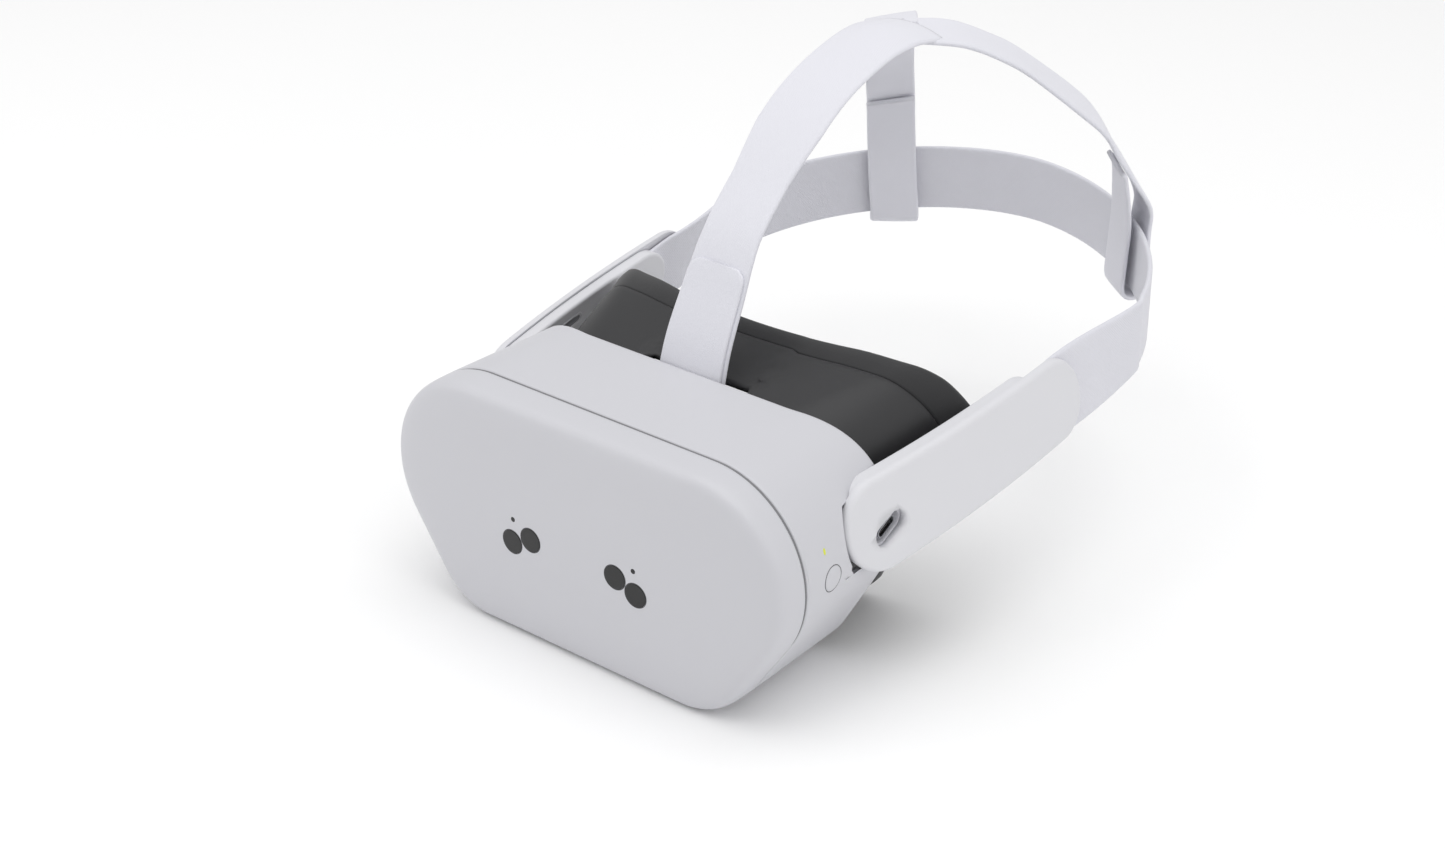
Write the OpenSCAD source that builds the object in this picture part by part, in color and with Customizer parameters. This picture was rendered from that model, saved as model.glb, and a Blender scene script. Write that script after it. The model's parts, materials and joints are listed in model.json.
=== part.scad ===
// Head-worn display headset: front visor, body shell, face interface, two hinged
// side arms, a back strap and a Y-shaped top strap. Millimetres, +Z up, -Y is the
// front, +X is the wearer's left. The origin lies on the rest plane, under the
// axis that both side arms turn about.

/* [Body] */
// Half-width to the centre of the corner arcs
corner_x = 50.5; // [46:0.5:56]
// Radius of the corner arcs at the seam
corner_r = 38.5; // [36:0.5:41]
// Height of the top face above the rest plane
top_z = 92.2; // [88:0.1:98]
// Wall of the visor and of the body shell
wall = 2.4; // [1.8:0.1:3]
// Where the visor meets the body shell
seam_y = -42; // [-46:0.5:-40]
// How far the visor bulges forward of the seam
visor_depth = 15.5; // [15:0.5:20]
// Rear edge of the body shell on the middle line
rear_y = 2.2; // [1:0.1:3]

/* [Face interface] */
// Depth of the interface behind the shell, on the middle line
face_depth = 38; // [34:0.5:44]
// How much further back the temples reach
temple_reach = 18; // [12:0.5:22]
// Width of the foam lip
foam_lip = 15; // [12:0.5:17]
// Wall of the interface frame
frame_wall = 2; // [1.6:0.1:2.6]

/* [Optics] */
// Distance between the two lens axes
lens_spacing = 63; // [60:0.5:66]
// Height of the lens axes
lens_z = 53; // [50:0.5:56]
// Outer radius of a lens tube
tube_r = 25; // [22:0.5:26]
// Travel of each lens to either side
lens_travel = 2.5; // [1.5:0.1:2.5]
// Radius of the guide rods
rod_r = 1.5; // [1.2:0.1:1.8]

/* [Side arms] */
// Height of the arm axis
pivot_z = 63; // [60:0.5:66]
// Outer face of an arm at its axis
arm_x = 89; // [88:0.1:91]
// Radius of the front end of the arm cover
arm_front_r = 16.5; // [15:0.1:17]
// Radius of the rear end of the arm cover
arm_rear_r = 15.1; // [13:0.1:16]
// Distance from the arm axis to the centre of the rear end
arm_len = 94.9; // [85:0.1:110]
// Rise of the rear end over the front end
arm_rise = 10.7; // [6:0.1:12]
// Thickness of the outer cover
cover_t = 3.4; // [2.6:0.1:4]
// Thickness of the inner core
core_t = 5; // [4:0.1:6]
// Inward lean of the arm's upper edge, degrees
arm_lean = 12.4; // [10:0.1:14]
// Radius of the hinge pins
pin_r = 3; // [2.4:0.1:4]

/* [Straps] */
// Thickness of the strap webbing
web_t = 1.8; // [1.4:0.1:2.2]
// Half-width of the top strap
top_half = 13; // [11:0.5:15]
// Half-width of each rear leg of the top strap
leg_half = 10; // [8:0.5:11]
// Half-width of the back strap's oval, seen from above
band_a = 94.6; // [92:0.1:98]
// Rearmost point of the back strap
band_rear = 225; // [220:1:235]
// Gap between a leg loop and the back strap
loop_gap = 2.6; // [2.6:0.1:4]

/* [Buttons and port] */
// Radius of the power button
power_r = 4.6; // [4:0.1:5.2]
// Length of the charging port's pocket
port_len = 15.5; // [14:0.1:17]
// Height of the charging port's pocket
port_h = 8; // [7.4:0.1:9]

/* [Hidden] */
$fn = 64;

white = "#dcdce0";
fabric = "#e6e6ec";
dark = "#3e3e40";
black = "#161618";
steel = "#b8babd";

// ---- small helpers -------------------------------------------------------
function sq(v) = v * v;
function bell(x, mid, width) = exp(-sq((x - mid) / width));
function clamp01(v) = min(1, max(0, v));
function smooth(v) = let (c = clamp01(v)) c * c * (3 - 2 * c);
function arc(cx, cz, r, from, to, n) =
    [for (i = [0 : n]) let (a = from + (to - from) * i / n) [cx + r * cos(a), cz + r * sin(a)]];
function flip(pts) = [for (i = [len(pts) - 1 : -1 : 0]) [-pts[i][0], pts[i][1]]];

// Closed skin through equal rings of points; the first and last rings are capped
// unless the rings join into a tube around a hole.
function ring_faces(rings, n, looped) = [
    for (k = [0 : rings - (looped ? 1 : 2)], i = [0 : n - 1])
        let (a = k * n, b = ((k + 1) % rings) * n, j = (i + 1) % n)
        each [[a + i, b + i, b + j], [a + i, b + j, a + j]]
];
function middle(ring) = [for (k = [0 : 2]) [for (p = ring) 1] * [for (p = ring) p[k]] / len(ring)];
module skin(rings, looped = false) {
    n = len(rings[0]);
    m = len(rings);
    hubs = looped ? [] : [middle(rings[0]), middle(rings[m - 1])];
    caps = looped ? [] : [for (i = [0 : n - 1]) let (j = (i + 1) % n, b = (m - 1) * n)
        each [[i, j, m * n], [b + j, b + i, m * n + 1]]];
    polyhedron(concat([for (r = rings) each r], hubs), concat(ring_faces(m, n, looped), caps), convexity = 8);
}
module mirrored_x() {
    mirror([1, 0, 0])
        children();
}
// Cylinder along X between two x values
module rod_x(x0, x1, r, y, z) {
    translate([x0, y, z])
        rotate([0, 90, 0])
            cylinder(h = x1 - x0, r = r);
}
// Cylinder along Y between two y values
module rod_y(y0, y1, r, x, z) {
    translate([x, y0, z])
        rotate([-90, 0, 0])
            cylinder(h = y1 - y0, r = r);
}
module box(x0, x1, y0, y1, z0, z1) {
    translate([x0, y0, z0])
        cube([x1 - x0, y1 - y0, z1 - z0]);
}

// ---- body outline --------------------------------------------------------
low_x = corner_x - 3.5;
low_r = 26;
// Front view of the body: flat top, round sides, a slanting jaw and a flat base.
// inset moves the whole outline inward, taper narrows the sides only.
function half_outline(inset, taper) =
    let (r1 = corner_r - inset - taper, r2 = low_r - inset, cx = corner_x - taper, lx = low_x - taper)
    let (cz = top_z - corner_r + taper)
    let (lean_a = atan2(low_r - cz, lx - cx), open_a = acos((r1 - r2) / norm([lx - cx, low_r - cz])))
    let (touch = lean_a + open_a)
    concat([[cx / 2, cz + r1]], arc(cx, cz, r1, 90, touch, 16), arc(lx, low_r, r2, touch, -90, 7), [[lx / 2, inset]]);
function outline(inset, taper = 0) =
    concat([[0, top_z - inset]], half_outline(inset, taper), [[0, inset]], flip(half_outline(inset, taper)));
function at_y(pts, y) = [for (p = pts) [p[0], y, p[1]]];
module plate(pts, y0, y1) {
    translate([0, y1, 0])
        rotate([90, 0, 0])
            linear_extrude(y1 - y0)
                polygon(pts);
}

// ---- visor and shell -----------------------------------------------------
centre_z = 50;
// Ring of the domed visor: f runs from 0 at the seam to 1 at the flat of the nose
function visor_ring(inset, f, depth) =
    let (k = 1 - 0.42 * sq(sq(f)) - 0.1 * sq(f))
    [for (p = outline(inset)) [p[0] * k, seam_y - 1 - depth * sqrt(1 - sq(1 - f)), centre_z + (p[1] - centre_z) * k]];
visor_steps = [1, 0.8, 0.62, 0.46, 0.3, 0.16, 0.06, 0];
// Side of the body at a height, for pieces that lie in it
function side_x(z, y) =
    let (t = shell_taper(y), r = corner_r - t, cz = top_z - r)
    corner_x - t + sqrt(sq(r) - sq(z - cz));
function shell_taper(y) = 1.6 * clamp01((y - seam_y) / 50);

module front_visor() {
    color(white)
        difference() {
            skin([for (f = visor_steps) visor_ring(0, f, visor_depth)]);
            skin(concat(
                [for (f = visor_steps) visor_ring(wall, f, visor_depth - wall)],
                [at_y(outline(wall), seam_y + 1)]
            ));
            camera_holes(0.15);
        }
}

module seam_gasket() {
    color("#6e6e70")
        difference() {
            plate(outline(0.8), seam_y - 1, seam_y);
            plate(outline(wall), seam_y - 2, seam_y + 1);
        }
}

// Rear edge of the shell, further back at the sides
function rear_edge(x) = rear_y + 7 * smooth((abs(x) - 45) / 36);
function shell_ring(inset, f) =
    [for (p = outline(inset, shell_taper(seam_y + f * 50)))
        [p[0], seam_y + f * (rear_edge(p[0]) - seam_y), p[1]]];

module main_shell() {
    color(white)
        difference() {
            skin(
                [shell_ring(0, 0), shell_ring(0, 0.5), shell_ring(0, 1),
                    shell_ring(wall, 1), shell_ring(wall, 0.5), shell_ring(wall, 0)],
                looped = true
            );
            arm_pockets();
            power_bore(0.25);
            led_hole();
            rocker_slot(0.25);
            action_slot(0.25);
        }
}

// ---- arm geometry --------------------------------------------------------
splay_near = 0.175;
splay_r = 625;
// The arm is a curved plate: a slice of a large upright drum, leaning inward.
module arm_drum(depth, thick) {
    start = atan(splay_near);
    translate([arm_x, 0, pivot_z])
        rotate([0, -arm_lean, 0])
            translate([-splay_r * cos(start) , splay_r * sin(start), -80])
                difference() {
                    cylinder(h = 160, r = splay_r - depth, $fn = 128);
                    translate([0, 0, -1])
                        cylinder(h = 162, r = splay_r - depth - thick, $fn = 128);
                }
}
// Side view of an arm: two round ends and their tangents
function arm_side(r1, y2, z2, r2) =
    let (d = norm([y2, z2]), a = atan2(z2, y2), b = acos((r1 - r2) / d))
    concat(arc(y2, z2, r2, a - b, a + b, 20), arc(0, 0, r1, a + b, a - b + 360, 24));
module arm_prism(r1, y2, z2, r2) {
    translate([40, 0, pivot_z])
        rotate([90, 0, 90])
            linear_extrude(100)
                polygon(arm_side(r1, y2, z2, r2));
}
core_front_r = arm_front_r - 0.8;
core_rear_y = arm_len - 16;
core_rear_z = arm_rise * core_rear_y / arm_len;
core_rear_r = arm_rear_r - 0.8;
swing_room = 1.3;
arm_t = cover_t + core_t;

module arm_pocket(inset = 0) {
    intersection() {
        union() {
            rod_x(70, 110, arm_front_r + swing_room - inset, 0, pivot_z);
            box(70, 110, 0, 24, pivot_z - 30, pivot_z + 30);
        }
        box(60, 120, -30, 30, pivot_z - 13.8 + inset, pivot_z + 12.5 - inset);
    }
}
module arm_pockets() {
    arm_pocket();
    mirrored_x()
        arm_pocket();
}

core_inner = arm_x - arm_t;
pin_end = core_inner + 3;
module left_cover_shape() {
    intersection() {
        arm_prism(arm_front_r, arm_len, arm_rise, arm_rear_r);
        arm_drum(0, cover_t);
    }
}
module left_core_shape() {
    difference() {
        intersection() {
            arm_prism(core_front_r, core_rear_y, core_rear_z, core_rear_r);
            arm_drum(cover_t + 0.05, core_t - 0.05);
        }
        for (z = [pivot_z - 42, pivot_z + 10.8])
            box(60, 120, -30, 16, z, z + 30);
        rod_x(60, pin_end, pin_r, 0, pivot_z);
        speaker_cavity();
        strap_slot();
    }
}

speaker_y = 30;
speaker_z = pivot_z + arm_rise * speaker_y / arm_len;
slot_z = speaker_z + 8;
// Outer face of an arm at a point of its side view
function arm_face_x(y, z) = arm_x + splay_near * y - sq(y) / (2 * splay_r) - tan(arm_lean) * (z - pivot_z);
speaker_x = arm_face_x(speaker_y, speaker_z) - arm_t;
module speaker_cavity() {
    intersection() {
        rod_x(60, 120, 11.2, speaker_y, speaker_z - 1);
        arm_drum(cover_t - 0.2, core_t - 1.1);
    }
    speaker_slot(0, 20);
}
module speaker_slot(inset, depth) {
    translate([speaker_x - 12, speaker_y, slot_z])
        rotate([90, 0, 90])
            linear_extrude(depth)
                rotate(6.5)
                    for (side = [-1, 1])
                        translate([side * (6.5 - inset), 0])
                            circle(r = 1.9 - inset);
    translate([speaker_x - 12, speaker_y, slot_z])
        rotate([6.5, 0, 0])
            translate([0, -6.5 + inset, -1.9 + inset])
                cube([depth, 13 - 2 * inset, 3.8 - 2 * inset]);
}
// Room for the end of the back strap between core and cover
module strap_slot() {
    intersection() {
        arm_drum(cover_t - 1, web_t + 1.6);
        box(80, 110, core_rear_y - 16, 200, 30, 120);
    }
}

module left_arm_cover() {
    color(white)
        difference() {
            left_cover_shape();
            port_cut(0, 4);
        }
}
module right_arm_cover() {
    color(white)
        mirrored_x()
            left_cover_shape();
}
module left_arm_core() {
    color(white)
        difference() {
            left_core_shape();
            port_cut(0, 4.2);
        }
}
module right_arm_core() {
    color(white)
        mirrored_x()
            left_core_shape();
}

// ---- hinges --------------------------------------------------------------
plate_gap = 1.2;
plate_t = 2.4;
boss_r = 7.5;
module tilted_disc(x0, x1, r) {
    translate([arm_x, 0, pivot_z])
        rotate([0, -arm_lean, 0])
            rotate([0, 0, -atan(splay_near)])
                rod_x(x0, x1, r, 0, 0);
}
hinge_face = -arm_t - plate_gap;
module left_hinge_shape() {
    difference() {
        union() {
            intersection() {
                tilted_disc(hinge_face - plate_t, hinge_face, 30);
                arm_pocket(0.3);
                box(60, 120, -30, 8, 0, 120);
            }
            rod_x(73, core_inner - plate_gap - 1.6, boss_r, 0, pivot_z);
            box(71.5, 74.5, chassis_back, 0, pivot_z - 7.5, pivot_z + 7.5);
        }
        rod_x(60, 120, pin_r + 0.05, 0, pivot_z);
        rod_x(60, 73, pin_head_r + 0.6, 0, pivot_z);
        hinge_screw_spots()
            rod_y(-1, 7.1, 0.9, 0, 0);
    }
}
pin_head_r = 5;
module left_pin_shape() {
    rod_x(71, pin_end, pin_r, 0, pivot_z);
    rod_x(71, 72.7, pin_head_r, 0, pivot_z);
}
module hinge_screw_spots() {
    for (dz = [-5, 5])
        translate([73, chassis_back, pivot_z + dz])
            children();
}
module left_hinge_plate() {
    color("#8c8e92")
        left_hinge_shape();
}
module right_hinge_plate() {
    color("#8c8e92")
        mirrored_x()
            left_hinge_shape();
}
module left_hinge_pin() {
    color(steel)
        left_pin_shape();
}
module right_hinge_pin() {
    color(steel)
        mirrored_x()
            left_pin_shape();
}

// ---- charging port and speakers -------------------------------------------
port_y = 2.8;
port_z = pivot_z - 2.5;
port_tilt = 26;
port_floor = arm_x - cover_t - 1.4;
module pill_x(length, height, depth) {
    for (side = [-1, 1])
        translate([0, side * (length - height) / 2, 0])
            rotate([0, 90, 0])
                cylinder(h = depth, r = height / 2);
    translate([0, -(length - height) / 2, -height / 2])
        cube([depth, length - height, height]);
}
module port_place(x) {
    translate([x, port_y, port_z])
        rotate([port_tilt, 0, 0])
            children();
}
module port_cut(grow, depth) {
    port_place(port_floor)
        pill_x(port_len + grow, port_h + grow, 20);
}
module port_bezel() {
    color("#d2d2d6")
        port_place(port_floor)
            difference() {
                pill_x(port_len - 0.1, port_h - 0.1, cover_t + 0.4);
                translate([1.4, 0, 0])
                    pill_x(port_len - 2, port_h - 2, 10);
                translate([-1, 0, 0])
                    pill_x(9.5, 3.7, 10);
            }
}
module port_shell() {
    color(steel)
        port_place(port_floor)
            difference() {
                pill_x(9.4, 3.6, 3.4);
                translate([0.5, 0, 0])
                    pill_x(8.7, 2.9, 10);
            }
}
module port_tongue() {
    color(black)
        port_place(port_floor + 0.5)
            translate([0, -3.3, -0.35])
                cube([2.4, 6.6, 0.7]);
}
module speaker_shape() {
    intersection() {
        rod_x(60, 120, 11, speaker_y, speaker_z - 1);
        arm_drum(cover_t + 0.6, core_t - 2);
    }
}
module left_speaker() {
    color(black)
        speaker_shape();
}
module right_speaker() {
    color(black)
        mirrored_x()
            speaker_shape();
}
module grille_shape() {
    intersection() {
        speaker_slot(0.05, 20);
        arm_drum(arm_t - 1.1, 0.8);
    }
}
module left_speaker_grille() {
    color("#8a8a8e")
        grille_shape();
}
module right_speaker_grille() {
    color("#8a8a8e")
        mirrored_x()
            grille_shape();
}

// ---- buttons and lights ----------------------------------------------------
power_y = -27;
power_z = 54;
power_x = side_x(power_z, power_y);
module power_bore(gap) {
    rod_x(power_x - 6, power_x + 6, power_r + gap, power_y, power_z);
}
module power_button() {
    color(white) {
        rod_x(power_x - 4, power_x + 0.15, power_r, power_y, power_z);
        rod_x(power_x - 5, power_x - 4, power_r + 1, power_y, power_z);
    }
}
led_y = -30.2;
led_z = 65.2;
module led_hole() {
    rod_x(80, 95, 0.9, led_y, led_z);
}
module status_led() {
    color("#d8e04a")
        rod_x(side_x(led_z, led_y) - 2.6, side_x(led_z, led_y) - 0.1, 0.85, led_y, led_z);
}
rocker_x = 38;
rocker_y = -24;
rocker_len = 20;
rocker_w = 5;
key_face = 0.5;
module key_slot(x, length, gap) {
    box(x - length / 2 - gap, x + length / 2 + gap, rocker_y - rocker_w / 2 - gap,
        rocker_y + rocker_w / 2 + gap, -1, 5);
}
module rocker_slot(gap) {
    key_slot(rocker_x, rocker_len, gap);
}
module action_slot(gap) {
    key_slot(-rocker_x, 9, gap);
}
rocker_axis_z = 6;
module volume_rocker() {
    color(white)
        difference() {
            union() {
                key_slot_solid(rocker_x, rocker_len);
                box(rocker_x - 2.5, rocker_x + 2.5, rocker_y - 2.4, rocker_y + 2.4, 3, 8);
            }
            rod_y(rocker_y - 5, rocker_y + 5, 1.05, rocker_x, rocker_axis_z);
        }
}
module key_slot_solid(x, length) {
    box(x - length / 2, x + length / 2, rocker_y - rocker_w / 2, rocker_y + rocker_w / 2, key_face, 4);
}
module rocker_pin() {
    color(steel)
        rod_y(rocker_y - 5, rocker_y + 5, 1, rocker_x, rocker_axis_z);
}
module action_button() {
    color(white) {
        key_slot_solid(-rocker_x, 9);
        box(-rocker_x - 5.5, -rocker_x + 5.5, rocker_y - 3.5, rocker_y + 3.5, 3.6, 4.6);
    }
}

// ---- cameras on the visor ---------------------------------------------------
cam_x = 19.6;
cam_z = 43.2;
cam_step = 9;
cam_drop = 3.9;
cam_r = 4.6;
cam_rear = seam_y - 6;
module camera_spots() {
    for (side = [-1, 1], k = [0, 1])
        translate([side * (cam_x + k * cam_step), 0, cam_z - k * cam_drop])
            children();
}
module camera_holes(gap) {
    camera_spots()
        rod_y(-80, cam_rear, cam_r + gap, 0, 0);
    for (side = [-1, 1])
        rod_y(-80, cam_rear, 1 + gap, side * (cam_x + 8.2), cam_z + 5.4);
}
module camera_modules() {
    color(black)
        camera_spots()
            rod_y(cam_rear - 4, sink_y, cam_r, 0, 0);
}
// Glossy window that follows the visor's own surface
module visor_slice(depth) {
    difference() {
        skin([for (f = visor_steps) visor_ring(0.2, f, visor_depth - 0.2)]);
        skin([for (f = visor_steps) visor_ring(0.2 + depth, f, visor_depth - 0.2 - depth)]);
    }
}
module window_pair(side) {
    color(black)
        intersection() {
            visor_slice(wall - 0.4);
            for (k = [0, 1])
                rod_y(-80, seam_y - 3, cam_r, side * (cam_x + k * cam_step), cam_z - k * cam_drop);
        }
}
module left_camera_window() {
    window_pair(1);
}
module right_camera_window() {
    window_pair(-1);
}
module infrared_windows() {
    color(black)
        intersection() {
            visor_slice(wall - 0.4);
            for (side = [-1, 1])
                rod_y(-80, seam_y - 3, 1, side * (cam_x + 8.2), cam_z + 5.4);
        }
}

// ---- frame and electronics ----------------------------------------------------
chassis_front = seam_y + 0.2;
chassis_back = chassis_front + 2.4;
mount_x = 52;
module screw_places() {
    for (x = [-mount_x, mount_x], z = [20, 82])
        translate([x, 0, z])
            children();
}
module chassis() {
    color("#5a5c60")
        difference() {
            union() {
                plate(outline(wall + 0.15), chassis_front, chassis_back);
                screw_places()
                    rod_y(chassis_front - 1.8, chassis_front, 3.4, 0, 0);
                for (z = [lens_z - 29, lens_z + 29], x = [-63, 63])
                    box(x - 2.5, x + 2.5, chassis_back, rod_y0 + 3, z - 3, z + 3);
                bezel_pillars()
                    box(-3, 3, chassis_back, bezel_y, -3, 3);
                for (x = [rocker_x - 6, rocker_x + 6])
                    box(x - 1, x + 1, chassis_back, rocker_y - 3, 4.5, 8);
                box(rocker_x - 7, rocker_x + 7, rocker_y - 5, rocker_y - 3.2, 4.5, 8);
            }
            for (side = [-1, 1])
                box(side * lens_spacing / 2 - 25, side * lens_spacing / 2 + 25, seam_y - 1, chassis_back + 1,
                    lens_z - 22, lens_z + 22);
            screw_places()
                rod_y(chassis_front - 3, chassis_back + 1, 0.8, 0, 0);
            for (z = [lens_z - 29, lens_z + 29])
                rod_x(-62.5, 62.5, rod_r, rod_y0, z);
            rod_y(rocker_y - 6, rocker_y - 3, 1, rocker_x, rocker_axis_z);
            for (side = [-1, 1])
                translate([side * 73 - 73, 0, 0])
                    hinge_screw_spots()
                        rod_y(-3, 0.1, 0.9, 0, 0);
            bezel_pillars()
                rod_y(bezel_y - 6, bezel_y + 0.1, 0.8, 0, 0);
        }
}
module display_panel() {
    color("#22252c")
        box(-58, 58, chassis_back, chassis_back + 2.6, lens_z - 24.5, lens_z + 24.5);
}
board_y = chassis_front - 1.8;
module mainboard() {
    color("#1e5a3c")
        difference() {
            box(-60, 60, board_y - 1.2, board_y, 14, 86);
            screw_places()
                rod_y(board_y - 2, board_y + 1, 1.1, 0, 0);
        }
}
module board_screws() {
    color(steel)
        screw_places() {
            rod_y(board_y - 1.2, chassis_back, 0.8, 0, 0);
            rod_y(board_y - 2.4, board_y - 1.2, 1.7, 0, 0);
        }
}
sink_y = board_y - 1.2;
module heat_sink() {
    color("#a9abb0")
        difference() {
            box(-40, 40, sink_y - 3.4, sink_y, 52, 80);
            for (k = [-9 : 9])
                box(k * 4 - 1.2, k * 4 + 1.2, sink_y - 5, sink_y - 1, 50, 82);
        }
}
fan_z = 66;
fan_r = 15;
fan_front = sink_y - 9;
module fan_housing() {
    color(black)
        difference() {
            rod_y(fan_front, sink_y - 3.4, fan_r + 1.6, 0, fan_z);
            rod_y(fan_front + 1, sink_y - 2, fan_r + 0.5, 0, fan_z);
            rod_y(fan_front - 1, fan_front + 2, 9, 0, fan_z);
        }
    color(black) {
        rod_y(sink_y - 4.4, sink_y - 3.4, 3, 0, fan_z);
        rod_y(fan_front + 1.2, sink_y - 4.4, 1, 0, fan_z);
        box(-fan_r - 1, fan_r + 1, sink_y - 4.2, sink_y - 3.4, fan_z - 1.5, fan_z + 1.5);
    }
}
module fan_rotor() {
    color("#3a3c40")
        difference() {
            union() {
                rod_y(fan_front + 1.2, sink_y - 4.6, 5, 0, fan_z);
                for (a = [0 : 40 : 320])
                    translate([0, fan_front + 1.4, fan_z])
                        rotate([0, a, 0])
                            translate([4, 0, -0.5])
                                cube([fan_r - 5, 2.8, 1]);
            }
            rod_y(fan_front, sink_y - 3, 1.05, 0, fan_z);
        }
}
module battery() {
    color("#c9ccd2")
        box(-14, 14, sink_y - 9, sink_y, 12, 48);
}

// ---- optics -------------------------------------------------------------------
rod_y0 = -14;
tube_front = -32;
tube_back = 9;
bezel_y = 2;
bezel_t = 2;
module guide_rods() {
    color(steel)
        for (z = [lens_z - 29, lens_z + 29])
            rod_x(-62.5, 62.5, rod_r, rod_y0, z);
}
module carriage() {
    x = lens_spacing / 2;
    color("#2a2b2e")
        difference() {
            union() {
                rod_y(tube_front, tube_back, tube_r, x, lens_z);
                for (z = [lens_z - 29, lens_z + 29])
                    box(x - 8, x + 8, rod_y0 - 4, rod_y0 + 4, z - 4, z + 4);
                box(x - 8, x + 8, rod_y0 - 3, rod_y0 + 3, lens_z - 29, lens_z + 29);
            }
            rod_y(tube_front - 1, tube_back - 7, tube_r - 1.8, x, lens_z);
            rod_y(tube_back - 7.5, tube_back + 1, tube_r - 3, x, lens_z);
            for (z = [lens_z - 29, lens_z + 29])
                rod_x(x - 9, x + 9, rod_r + 0.05, rod_y0, z);
        }
}
module left_lens_carriage() {
    carriage();
}
module right_lens_carriage() {
    mirrored_x()
        carriage();
}
lens_r = tube_r - 1.85;
module lens_shape() {
    translate([lens_spacing / 2, tube_back - 7, lens_z])
        rotate([90, 0, 0])
            rotate_extrude()
                polygon(concat([[0, 5], [lens_r, 5], [lens_r, 0]],
                    [for (i = [0 : 12]) let (r = (lens_r - 1.5) * (1 - i / 12)) [r, -5 * (1 - sq(r / (lens_r - 1.5)))]]));
}
module left_lens() {
    color("#cfd8e0", 0.6)
        lens_shape();
}
module right_lens() {
    color("#cfd8e0", 0.6)
        mirrored_x()
            lens_shape();
}
// Outline of the face interface where it enters the shell
face_x = 41;
face_r = 29.5;
face_top = top_z - wall - 1.2;
module bezel_pillars() {
    for (side = [-1, 1], spot = [[49, 81.5], [50, 14]])
        translate([side * spot[0], 0, spot[1]])
            children();
}
module lens_bezel() {
    color("#2c2d30")
        difference() {
            plate(face_outline(1), bezel_y, bezel_y + bezel_t);
            for (side = [-1, 1], dx = [-lens_travel, lens_travel])
                rod_y(bezel_y - 1, bezel_y + 3, tube_r + 0.5, side * lens_spacing / 2 + dx, lens_z);
            for (side = [-1, 1])
                box(side * lens_spacing / 2 - lens_travel, side * lens_spacing / 2 + lens_travel, bezel_y - 1,
                    bezel_y + 3, lens_z - tube_r - 0.5, lens_z + tube_r + 0.5);
            rod_y(bezel_y - 1, bezel_y + 3, 2.7, 0, lens_z + 19);
            bezel_pillars()
                rod_y(bezel_y - 1, bezel_y + 3, 1, 0, 0);
            box(-23, 23, -1, 10, anchor_z - 4, 100);
        }
}
module bezel_screws() {
    color(steel)
        bezel_pillars() {
            rod_y(bezel_y - 5, bezel_y + bezel_t, 0.8, 0, 0);
            rod_y(bezel_y + bezel_t, bezel_y + bezel_t + 1, 1.8, 0, 0);
        }
}
module proximity_window() {
    color(black)
        rod_y(bezel_y + 0.3, bezel_y + bezel_t - 0.2, 2.6, 0, lens_z + 19);
}

// ---- face interface --------------------------------------------------------------
face_y = bezel_y + bezel_t;
function face_outline(inset, f = 0) =
    let (r = face_r - 12 * f)
    let (right = concat([[face_x / 2, face_top - inset]], arc(face_x + 21 * f, face_top - r, r - inset, 90, -35, 14),
        arc(face_x - 4, 24, 22 - inset, -38, -90, 7), [[17, 2 + inset]]))
    concat([[0, face_top - inset]], right, [[0, 2 + inset]], flip(right));
// Where the rim stands: temples reach back, the brow rises beside the nose line
function rim_back(x, z) = face_depth + temple_reach * sq(x / 78) + 12 * bell(z, 66, 18) * sq(sq(x / 80))
    - 8 * bell(z, 0, 30) * bell(x, 0, 30);
function face_ring(f, inset) =
    [for (p = face_outline(inset, f))
        let (up = clamp01((p[1] - 50) / 38), low = clamp01((50 - p[1]) / 46))
        [p[0] * (1 + 0.03 * f), face_y + f * (rim_back(p[0], p[1]) - 2),
            p[1] + f * up * (10.5 - 3.5 * smooth((abs(p[0]) - 42) / 30) - 4 * smooth((abs(p[0]) - 70) / 12)) + low * nose_rise(p[0], f) - 2 * f * low]];
function nose_rise(x, f) = (10 + 22 * f) * bell(x, 0, 15);
seam_f = 0.72;
frame_steps = [0, 0.24, 0.48, seam_f];
module interface_frame() {
    color(dark)
        difference() {
            skin(
                concat([for (f = frame_steps) face_ring(f, 0)],
                    [for (k = [len(frame_steps) - 1 : -1 : 0]) face_ring(frame_steps[k], frame_wall)]),
                looped = true
            );
            box(-21, 21, -1, 12.5, anchor_z - 6, 110);
        }
}
module face_foam() {
    color("#48484a")
        skin(
            [face_ring(seam_f + 0.01, 0.4), face_ring(0.9, -0.4), face_ring(0.98, 1.2), face_ring(1, foam_lip / 2),
                face_ring(0.96, foam_lip), face_ring(0.85, foam_lip + 1), face_ring(seam_f + 0.01, foam_lip)],
            looped = true
        );
}

// ---- straps ------------------------------------------------------------------------
anchor_y = 7.5;
anchor_z = 83.5;
anchor_r = 1.6;
loop_in = anchor_r + 0.1;
loop_out = loop_in + web_t;
module strap_anchor() {
    color(steel) {
        rod_x(-19, 19, anchor_r, anchor_y, anchor_z);
        for (side = [-1, 1])
            box(side * 20 - 1, side * 20 + 1, -6, anchor_y + 2.5, anchor_z - 3, anchor_z + 3);
    }
    color(steel)
        for (side = [-1, 1])
            box(side * 20 - 1, side * 20 + 1, -6, 0, anchor_z, top_z - wall);
}
// Smooth curve through hand-set points; t runs from 0 to the number of spans
function spline(pts, t) =
    let (n = len(pts) - 1, i = min(floor(t), n - 1), u = t - i)
    let (p0 = pts[max(i - 1, 0)], p1 = pts[i], p2 = pts[i + 1], p3 = pts[min(i + 2, n)])
    0.5 * (2 * p1 + u * (p2 - p0) + u * u * (2 * p0 - 5 * p1 + 4 * p2 - p3) + u * u * u * (3 * p1 - p0 - 3 * p2 + p3));
function unit(v) = v / norm(v);
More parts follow.
